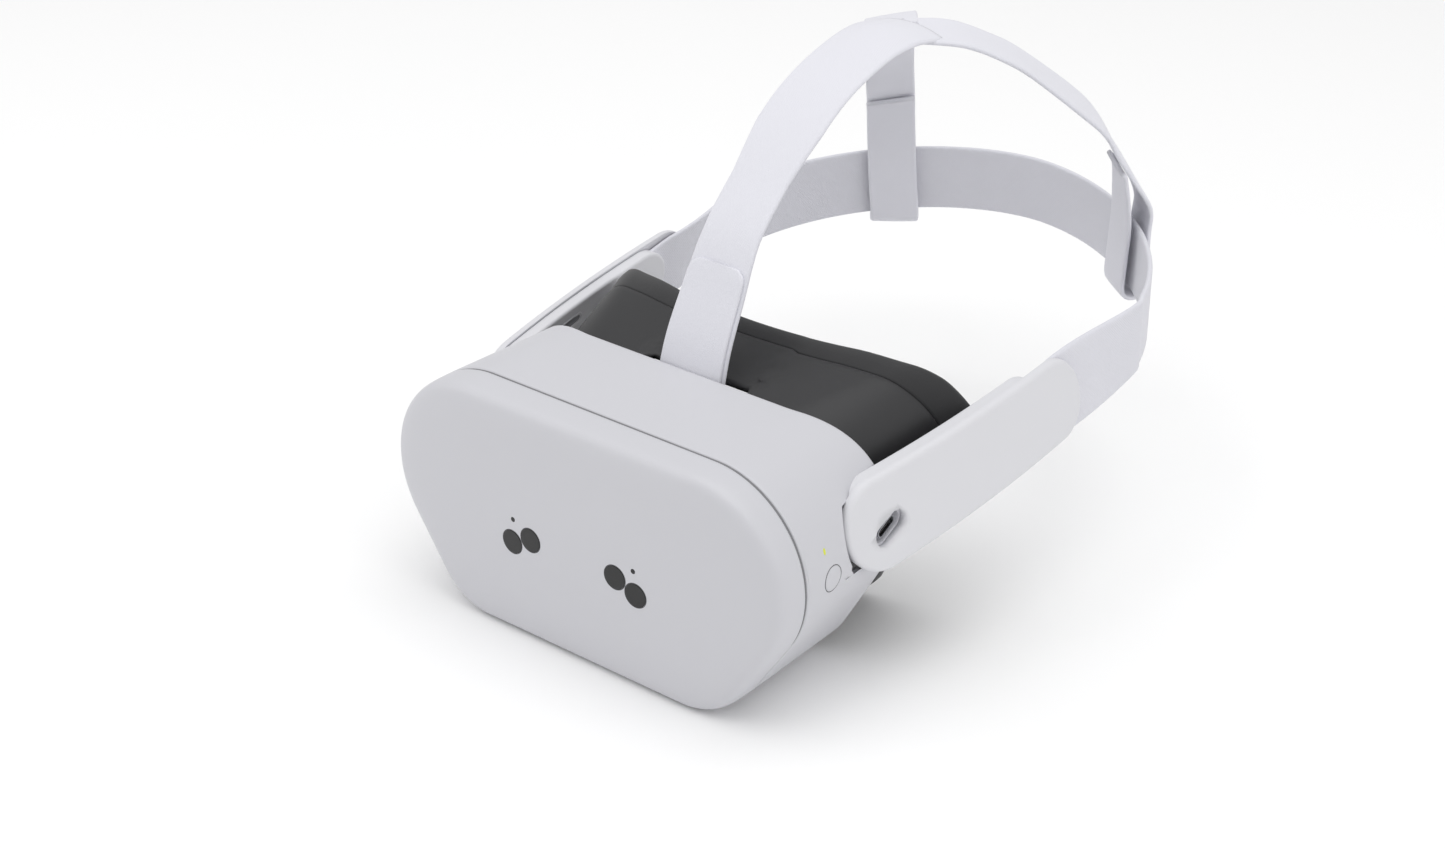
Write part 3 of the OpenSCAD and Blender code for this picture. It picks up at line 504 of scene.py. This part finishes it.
def slotRings(steps):
    # the slot's outline at each inset, laid at each depth under the arm's outer face
    rings = []
    for inset, depth in steps:
        p = stadium(speaker["length"], speaker["height"], inset)
        y, z = tilted(p, speaker["y"], slotZ, speaker["tilt"])
        rings.append(np.stack([armX(y, z, depth), y, z], 1))
    return np.array(rings)


lipGrid = slotRings(((-0.5, 8.3), (-0.4, 8.52), (-0.15, 8.56), (0.05, 8.45), (0.15, 8.1)))
grilleGrid = slotRings(((0.1, 8.35), (0.9, 8.42), (1.6, 8.44)))
for side, word in ((1, "left"), (-1, "right")):
    lip = gridObject(word + "SlotLip", lipGrid if side == 1 else mirrorX(lipGrid), closedV=True)
    place(lip, word + "_arm", "arm", "white")
    grillePoints = grilleGrid if side == 1 else mirrorX(grilleGrid)
    grille = gridObject(word + "Grille", grillePoints, closedV=True, capEnd=True)
    place(grille, word + "_arm", "grille", "grille", word + "_speaker_grille")
print("speaker slots built")

# face interface
face = {
    "x": 41.0, "r": 29.5, "top": 88.6, "y": 4.0, "depth": 38.0, "reach": 18.0,
    "wall": 2.0, "lip": 15.0, "seam": 0.72, "templeReach": 12.0, "brow": 10.5, "strapRoom": 6.5,
}


def faceOutline(inset, f):
    r = face["r"] - 12 * f
    cz = face["top"] - r
    cx = face["x"] + 21 * f
    top = np.stack([np.linspace(0, cx, 18)[:-1], np.full(17, face["top"] - inset)], 1)
    a = np.radians(np.linspace(90, -35, 52))
    upper = np.stack([cx + (r - inset) * np.cos(a), cz + (r - inset) * np.sin(a)], 1)
    b = np.radians(np.linspace(-38, -90, 24))
    lower = np.stack([face["x"] - 4 + (22 - inset) * np.cos(b), 24 + (22 - inset) * np.sin(b)], 1)
    t = np.linspace(0, 1, 8)[1:-1, None]
    jaw = upper[-1] * (1 - t) + lower[0] * t
    base = np.stack([np.linspace(lower[-1, 0], 0, 22)[1:], np.full(21, 2 + inset)], 1)
    half = np.vstack([top, upper, jaw, lower, base])
    return np.vstack([half, (half * [-1, 1])[-2:0:-1]])


def faceRing(f, inset):
    # the outline grows and curves back to the temples, the brow lifts and the base rises over the nose
    p = faceOutline(inset, f)
    x, z = p[:, 0], p[:, 1]
    up, lowPart = np.clip((z - 50) / 38, 0, 1), np.clip((50 - z) / 46, 0, 1)
    back = face["depth"] + face["reach"] * (x / 78) ** 2
    back = back + face["templeReach"] * bell(z, 66, 18) * (x / 80) ** 4 - 8 * bell(z, 0, 30) * bell(x, 0, 30)
    start = face["strapRoom"] * smooth((25 - np.abs(x)) / 2) * (z > 80)  # room for the top strap
    lift = face["brow"] - 3.5 * smooth((np.abs(x) - 42) / 30) - 4 * smooth((np.abs(x) - 70) / 12)
    nose = (10 + 22 * f) * bell(x, 0, 15)
    return np.stack([
        x * (1 + 0.03 * f),
        face["y"] + start + f * (back - 2 - start),
        z + f * up * lift + lowPart * nose - 2 * f * lowPart,
    ], 1)


def buildFace():
    seam, wall, lip = face["seam"], face["wall"], face["lip"]
    outer = [faceRing(f, 0) for f in np.linspace(0, seam - 0.012, 18)]
    turn = [faceRing(seam - 0.004, 0.15), faceRing(seam, 0.6), faceRing(seam, wall)]
    inner = [faceRing(f, wall) for f in np.linspace(seam - 0.02, 0, 12)]
    shellPart = gridObject("interfaceSkin", np.array(outer + turn + inner), closedU=True, closedV=True)
    place(shellPart, "head", "frame", "frame", "interface_frame")
    rings = [faceRing(seam + 0.004, 1.2), faceRing(seam + 0.012, 0.2)]
    for s in np.linspace(0, 1, 8):
        rings.append(faceRing(seam + 0.02 + 0.2 * s, -0.5 * math.sin(math.pi * s) + 0.1))
    for s in np.linspace(0.15, 1, 8) * math.pi / 2:
        rings.append(faceRing(0.93 + 0.07 * math.sin(s), 0.1 + 4.5 * (1 - math.cos(s))))
    for s in np.linspace(0, 1, 8)[1:]:
        rings.append(faceRing(1.0 - 0.03 * s * s, 4.6 + (lip - 6) * s))
    for s in np.linspace(0.2, 1, 6) * math.pi / 2:
        rings.append(faceRing(0.97 - 0.07 * (1 - math.cos(s)), lip - 1.4 + 2.4 * math.sin(s)))
    rings += [faceRing(0.85, lip + 1), faceRing(seam + 0.01, lip)]
    pad = gridObject("foamSkin", np.array(rings), closedU=True, closedV=True)
    place(pad, "head", "foam", "foam", "face_foam")


buildFace()
print("face interface built")


# straps
def curveThrough(points, count):
    # Catmull-Rom through the points, then samples at equal lengths
    p = np.array(points, float)
    ext = np.vstack([2 * p[0] - p[1], p, 2 * p[-1] - p[-2]])
    fine = []
    for i in range(len(p) - 1):
        p0, p1, p2, p3 = ext[i:i + 4]
        u = np.linspace(0, 1, 40, endpoint=False)[:, None]
        square, cube = 2 * p0 - 5 * p1 + 4 * p2 - p3, 3 * p1 - p0 - 3 * p2 + p3
        fine.append(0.5 * (2 * p1 + u * (p2 - p0) + u ** 2 * square + u ** 3 * cube))
    fine = np.vstack(fine + [p[-1:]])
    s = np.concatenate([[0], np.cumsum(np.linalg.norm(np.diff(fine[:, :3], axis=0), axis=1))])
    at = np.linspace(0, s[-1], count)
    return np.stack([np.interp(at, s, fine[:, k]) for k in range(fine.shape[1])], 1), at


def webSection(half, thick, camber, n=22):
    # cross section of webbing: two faces and half-round edges, in (across, outward)
    r = thick / 2
    across = np.linspace(-(half - r), half - r, n)
    top = np.stack([across, np.full(n, r)], 1)
    a = np.linspace(math.pi / 2, -math.pi / 2, 7)[1:-1]
    right = np.stack([half - r + r * np.cos(a), r * np.sin(a)], 1)
    bottom = -top
    pts = np.vstack([top, right, bottom, -right])
    pts[:, 1] += camber * (1 - (pts[:, 0] / half) ** 2)
    return pts


def webbing(name, centres, across, halves, thick, lengths, camber, lift=0.0):
    # rings of the section along a curve; outward is across x along
    along = np.gradient(centres, axis=0)
    along /= np.linalg.norm(along, axis=1)[:, None]
    w = across - along * (across * along).sum(1)[:, None]
    w /= np.linalg.norm(w, axis=1)[:, None]
    n = np.cross(w, along)
    rings, uv = [], []
    for i in range(len(centres)):
        sec = webSection(halves[i], thick, camber[i])
        rings.append(centres[i] + w[i] * sec[:, :1] + n[i] * (sec[:, 1:] + lift))
        uv.append(np.stack([sec[:, 0], np.full(len(sec), lengths[i])], 1) * mm)
    return gridObject(name, np.array(rings), closedV=True, capStart=True, capEnd=True, uv=np.array(uv))


web = {"thick": 1.8, "half": 14.2, "legHalf": 10.0, "flapThick": 1.4, "crownSteps": 110, "legSteps": 190}
crown = [  # y and z of the top strap's middle line from the steel bar to the split
    [5.9, 85], [6.8, 90], [10.5, 101], [17.8, 115.5], [28, 134.5], [43, 150], [60.6, 165.5], [77, 175.4],
    [97, 182], [114, 184], [129, 182],
]
crownLine, crownS = curveThrough([[0, y, z] for y, z in crown], web["crownSteps"])
crownHalf = np.interp(crownLine[:, 1], [6.8, 18, 28, 44, 60, 100, 129],
                      [14.6, 13.6, 12.4, 12.3, 14.4, 14.6, 16.3])
crownCamber = 0.5 + 2.6 * smooth((crownLine[:, 1] - 88) / 36)
crownAcross = np.tile([1.0, 0, 0], (len(crownS), 1))
crownWeb = webbing("crownWeb", crownLine, crownAcross, crownHalf, web["thick"], crownS, crownCamber,
                   web["thick"] / 2)
place(crownWeb, "crown", "strap", "strap", "top_strap")

hook = {"x": 56.4, "y": 204.5, "turn": 38.5, "low": 68.3, "gap": 4.4}
ox = math.sin(math.radians(hook["turn"])) * hook["gap"]
oy = math.cos(math.radians(hook["turn"])) * hook["gap"]


def atHook(side, z, dx=0.0, dy=0.0):
    # side 1 is outside the back strap, -1 inside it and 0 right under it; z is above the loop's lowest face
    return [hook["x"] + side * ox + dx, hook["y"] + side * oy + dy, hook["low"] + z, hook["turn"], 0]


legPath = [  # x, y, z, turn in plan in degrees, droop of the outer edge
    [4, 125, 185, 36, 0.12], [15.1, 139.9, 182.3, 34, 0.2], [24.4, 152.8, 175.5, 33, 0.25],
    [31.6, 162.8, 168, 33, 0.32], [43.9, 180.4, 150.9, 36, 0.36], [49.6, 188.6, 141, 40, 0.24],
    [53, 194.3, 130.4, 45, 0.1], [57, 200.8, 119, 46, 0.03],
    atHook(1, 38.7, 1.5, -1.6)[:3] + [41, 0], atHook(1, 27.7, 1.1, -0.9)[:3] + [39, 0],
    atHook(1, 4.5), atHook(0.6, 0.9), atHook(0, 0.2), atHook(-0.6, 0.9), atHook(-1, 4.5),
    atHook(-1, 17.7, 0.9, -0.7), atHook(-1, 33.7, 1.7, -1.3)[:3] + [39, 0],
    [54.7, 197.4, 120, 44, 0.02], [53.6, 195.5, 124, 45, 0.05],
]
for side, word in ((1, "left"), (-1, "right")):
    line, s = curveThrough(legPath, web["legSteps"])
    turn = np.radians(line[:, 3])
    across = np.stack([np.cos(turn), -np.sin(turn), -line[:, 4]], 1)
    centres = line[:, :3].copy()
    if side == -1:
        centres[:, 0] *= -1
        across[:, 1:] *= -1
    legHalves, legCamber = np.full(len(s), web["legHalf"]), np.full(len(s), 0.2)
    leg = webbing(word + "Leg", centres, across, legHalves, web["thick"], s, legCamber)
    place(leg, "crown", "strap", "strap")

# flap that covers the front fold of the top strap, with rounded upper corners
flapCorner, flapTop = 5.0, 125.5
flapEnd = crownS[int(np.argmin(np.abs(crownLine[:, 2] - flapTop)))]
cornerTurn = np.sin(np.linspace(0, 1, 12) * math.pi / 2)
flapStraight = np.linspace(crownS[2], flapEnd - flapCorner, 24)[:-1]
flapS = np.concatenate([flapStraight, flapEnd - flapCorner * (1 - cornerTurn)])
flapLine = np.stack([np.interp(flapS, crownS, crownLine[:, k]) for k in range(3)], 1)
corner = np.clip((flapS - flapEnd + flapCorner) / flapCorner, 0, 1)
cornerCut = flapCorner * (1 - np.sqrt(np.clip(1 - corner ** 2, 0, 1)))
flapHalf = np.interp(flapS, crownS, crownHalf) - 0.8 - cornerCut
flapAcross = np.tile([1.0, 0, 0], (len(flapS), 1))
flap = webbing("frontFlap", flapLine, flapAcross, flapHalf, web["flapThick"], flapS, np.full(len(flapS), 0.5),
               web["thick"] + 0.75)
place(flap, "crown", "strap", "strap", "top_strap_flap")

band = {"a": 94.6, "centreY": 139.7, "rear": 225.0, "power": 1.83, "start": 66.9}


def bandCentre(y):
    return 72.5 + 0.1 * (y - 100) + 0.0003 * (y - 100) ** 2


def bandHalf(y):
    return 15 - 1.5 * np.clip((y - 100) / 125, 0, 1) - 3 * np.clip((band["start"] + 30 - y) / 30, 0, 1)


def bandLean(y):
    return math.tan(arm["lean"]) * (1 - smooth((y - 112) / 48))


webDepth = (arm["coverT"] + 0.3 + web["thick"] / 2) / math.cos(arm["lean"])
# the band starts between cover and core, then its plan is a superellipse round the back of the head
half = []
for y in (band["start"], band["start"] + 12, band["start"] + 26, band["start"] + 42):
    half.append([armX(y, bandCentre(y), 0) - webDepth, y, 0])
for t in np.radians(np.arange(6, 84, 7)):
    bx = band["a"] * math.cos(t) ** (2 / band["power"])
    by = band["centreY"] + (band["rear"] - band["centreY"]) * math.sin(t) ** (2 / band["power"])
    half.append([bx, by, 0])
path = half + [[0, band["rear"], 0]] + [[-x, y, 0] for x, y, _ in half[::-1]]
plan, planS = curveThrough(path, 260)
along = np.gradient(plan, axis=0)
along /= np.linalg.norm(along, axis=1)[:, None]
out = np.stack([along[:, 1], -along[:, 0], np.zeros(len(plan))], 1)
rings, uv = [], []
for i in range(len(plan)):
    y = plan[i, 1]
    sec = webSection(float(bandHalf(y)), 2.0, 0)
    leanX = -np.sign(plan[i, 0]) * bandLean(y) * min(1, abs(plan[i, 0]) / 10)
    up = np.array([leanX, 0, 1])
    rings.append(plan[i] + [0, 0, bandCentre(y)] + up * sec[:, :1] + out[i] * sec[:, 1:])
    uv.append(np.stack([sec[:, 0], np.full(len(sec), planS[i])], 1) * mm)
backBand = gridObject("backBand", np.array(rings), closedV=True, capStart=True, capEnd=True, uv=np.array(uv))
place(backBand, "left_arm", "bandFace", "strap", "back_strap")
print("straps built, lengths in mm", round(crownS[-1]), round(s[-1]), round(planS[-1]))

# buttons
button = {"y": -27.0, "z": 54.0, "radius": 4.6}


def sideX(y, z):
    t = shellTaper(y)
    r = shape["cornerR"] - t
    return shape["cornerX"] - t + np.sqrt(r ** 2 - (z - (shape["topZ"] - r)) ** 2)


def onSide(rings):
    x = sideX(rings[..., 0], rings[..., 1]) + rings[..., 2] - 0.05
    return np.stack([x, rings[..., 0], rings[..., 1]], -1)


rings = []
for r, lift in ((0.02, 0.22), (1.5, 0.22), (3.0, 0.22), (4.2, 0.2), (4.45, 0.12), (4.6, -0.1), (4.6, -1.0)):
    a = np.linspace(0, 2 * math.pi, 57)[:-1]
    y, z = button["y"] + r * np.cos(a), button["z"] + r * np.sin(a)
    rings.append(np.stack([sideX(y, z) + lift, y, z], 1))
cap = gridObject("powerCap", np.array(rings), closedV=True, capStart=True)
place(cap, "power", "shell", "white", "power_button")
# painted shade of the gap round the button
ring = gapShadeLoop("powerGapShade", button["y"], button["z"], 4.75, onSide)
place(ring, "head", "gap", "gasket")
light = []
for r, lift in ((0.01, 0.16), (0.35, 0.16), (0.6, 0.05), (0.65, -0.3)):
    a = np.linspace(0, 2 * math.pi, 33)[:-1]
    y, z = -30.2 + r * np.cos(a), 65.2 + 2.0 * r * np.sin(a)
    light.append(np.stack([sideX(y, z) + lift, y, z], 1))
lamp = gridObject("statusLight", np.array(light), closedV=True, capStart=True)
place(lamp, "head", "led", "led", "status_led")
print("buttons built")

# floor, light and camera
floorMesh = bpy.data.meshes.new("floor")
floorMesh.from_pydata([(-30, -30, 0), (30, -30, 0), (30, 30, 0), (-30, 30, 0)], [], [(0, 1, 2, 3)])
floor = bpy.data.objects.new("floor", floorMesh)
bpy.context.scene.collection.objects.link(floor)
floor.location = (0, 0, -0.0002)
floorMesh.materials.append(surfaceMaterial("matt white paper", "#FCFCFC", 0.9))


def areaLight(name, location, target, size, power):
    data = bpy.data.lights.new(name, "AREA")
    data.shape = "RECTANGLE"
    data.size, data.size_y = size
    data.energy = power
    obj = bpy.data.objects.new(name, data)
    bpy.context.scene.collection.objects.link(obj)
    obj.location = location
    obj.rotation_euler = (Vector(target) - Vector(location)).to_track_quat("-Z", "Y").to_euler()
    return obj


areaLight("topSoftbox", (0.1, -0.1, 1.6), (0, 0.05, 0.08), (1.8, 1.8), 14)
areaLight("leftSoftbox", (-1.3, -0.9, 0.9), (0, 0.05, 0.08), (1.2, 1.2), 4)
areaLight("rightSoftbox", (1.5, 0.2, 0.7), (0, 0.05, 0.08), (1.2, 1.2), 3)
world = bpy.data.worlds.new("studio")
bpy.context.scene.world = world
world.use_nodes = True
world.node_tree.nodes["Background"].inputs["Color"].default_value = (1, 1, 1, 1)
world.node_tree.nodes["Background"].inputs["Strength"].default_value = 0.62
bpy.context.scene.view_settings.view_transform = "Standard"

cameraData = bpy.data.cameras.new("camera")
cameraData.lens = 64.18
cameraData.sensor_width = 36
camera = bpy.data.objects.new("camera", cameraData)
bpy.context.scene.collection.objects.link(camera)
camera.location = (0.525, -0.61573, 0.49456)
camera.rotation_euler = (math.radians(62.4), 0, math.radians(39.45))
bpy.context.scene.camera = camera
print("stage built")
